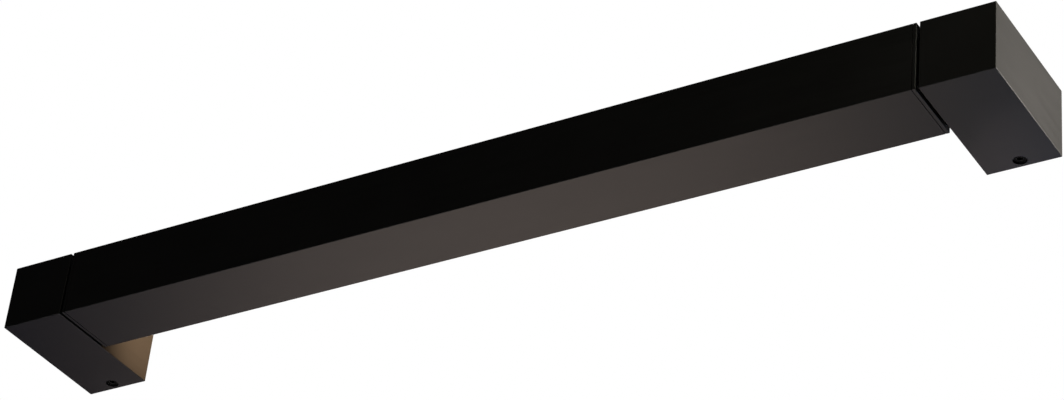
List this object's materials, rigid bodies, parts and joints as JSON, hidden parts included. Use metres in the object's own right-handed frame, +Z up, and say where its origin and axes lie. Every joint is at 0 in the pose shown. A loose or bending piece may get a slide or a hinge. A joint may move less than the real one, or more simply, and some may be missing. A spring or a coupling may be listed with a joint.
{
  "type": "led strip batten",
  "caption": "Square black light bar that tilts between two square arms which stand it off a wall; each arm slides over a wall bracket and is held by a recessed screw underneath.",
  "frame": {"origin": "on the wall plane, midway between the two arms and at their mid height, the centre of the outer wall screws", "axes": "+X along the bar, to the right for someone who faces it; +Y into the wall; +Z up"},
  "size_m": [0.606, 0.08, 0.04],
  "materials": {
    "black_anodised": "fine satin black anodised extrusion",
    "opal_acrylic": "opal, satin outside",
    "galvanised_steel": "zinc plated",
    "blackened_steel": "black oxide",
    "spring_steel": "bright",
    "acetal": "natural, slightly waxy",
    "black_rubber": "matt",
    "terminal_nylon": "natural white",
    "brass_screws": "plated",
    "cable_sheath": "matt black",
    "core_brown": "satin",
    "core_blue": "satin",
    "core_green_yellow": "green with a yellow stripe",
    "core_red": "satin",
    "core_black": "satin",
    "board_white": "white solder mask on an aluminium core",
    "board_green": "green laminate",
    "thermal_pad": "matt grey",
    "led_phosphor": "silicone over phosphor",
    "chip_black": "moulded",
    "connector_white": "moulded",
    "driver_casing": "moulded white",
    "ferrite": "taped winding on a dark core",
    "capacitor_sleeve": "shrunk sleeve"
  },
  "bodies": {
    "wall_mount": {"left_arm": "black_anodised", "right_arm": "black_anodised", "left_wall_bracket": "galvanised_steel", "right_wall_bracket": "galvanised_steel", "arm_retaining_screws": "blackened_steel", "left_pivot_bush": "acetal", "right_pivot_bush": "acetal", "supply_grommet": "black_rubber", "blanking_plug": "black_rubber", "terminal_block": "terminal_nylon", "terminal_screws": "brass_screws", "block_fixing_screw": "galvanised_steel", "core_live": "core_brown", "core_neutral": "core_blue", "core_earth": "core_green_yellow", "arm_lead": "cable_sheath", "lead_clamp": "acetal"},
    "light_bar": {"bar_housing": "black_anodised", "left_end_cap": "black_anodised", "right_end_cap": "black_anodised", "end_cap_screws": "blackened_steel", "pivot_washers": "acetal", "left_end_gasket": "black_rubber", "right_end_gasket": "black_rubber", "bar_lead": "cable_sheath", "diffuser": "opal_acrylic", "left_spindle": "spring_steel", "right_spindle": "spring_steel", "thrust_washers": "spring_steel", "disc_springs": "spring_steel", "lock_nuts": "spring_steel", "stop_pins": "spring_steel", "led_board_left": "board_white", "led_board_right": "board_white", "thermal_pads": "thermal_pad", "led_chips": "led_phosphor", "board_resistors": "chip_black", "board_screws": "galvanised_steel", "board_connector": "connector_white", "gear_tray": "galvanised_steel", "driver_case": "driver_casing", "driver_end_covers": "driver_casing", "driver_fixing_screws": "galvanised_steel", "driver_board": "board_green", "driver_transformer": "ferrite", "driver_capacitors": "capacitor_sleeve", "output_lead_positive": "core_red", "output_lead_negative": "core_black"}
  },
  "joints": [
    {"name": "bar_tilt", "type": "hinge", "parent": "wall_mount", "child": "light_bar", "pos_m": [0, -0.06, 0], "axis": [1, 0, 0], "range_deg": [-90, 90]}
  ]
}
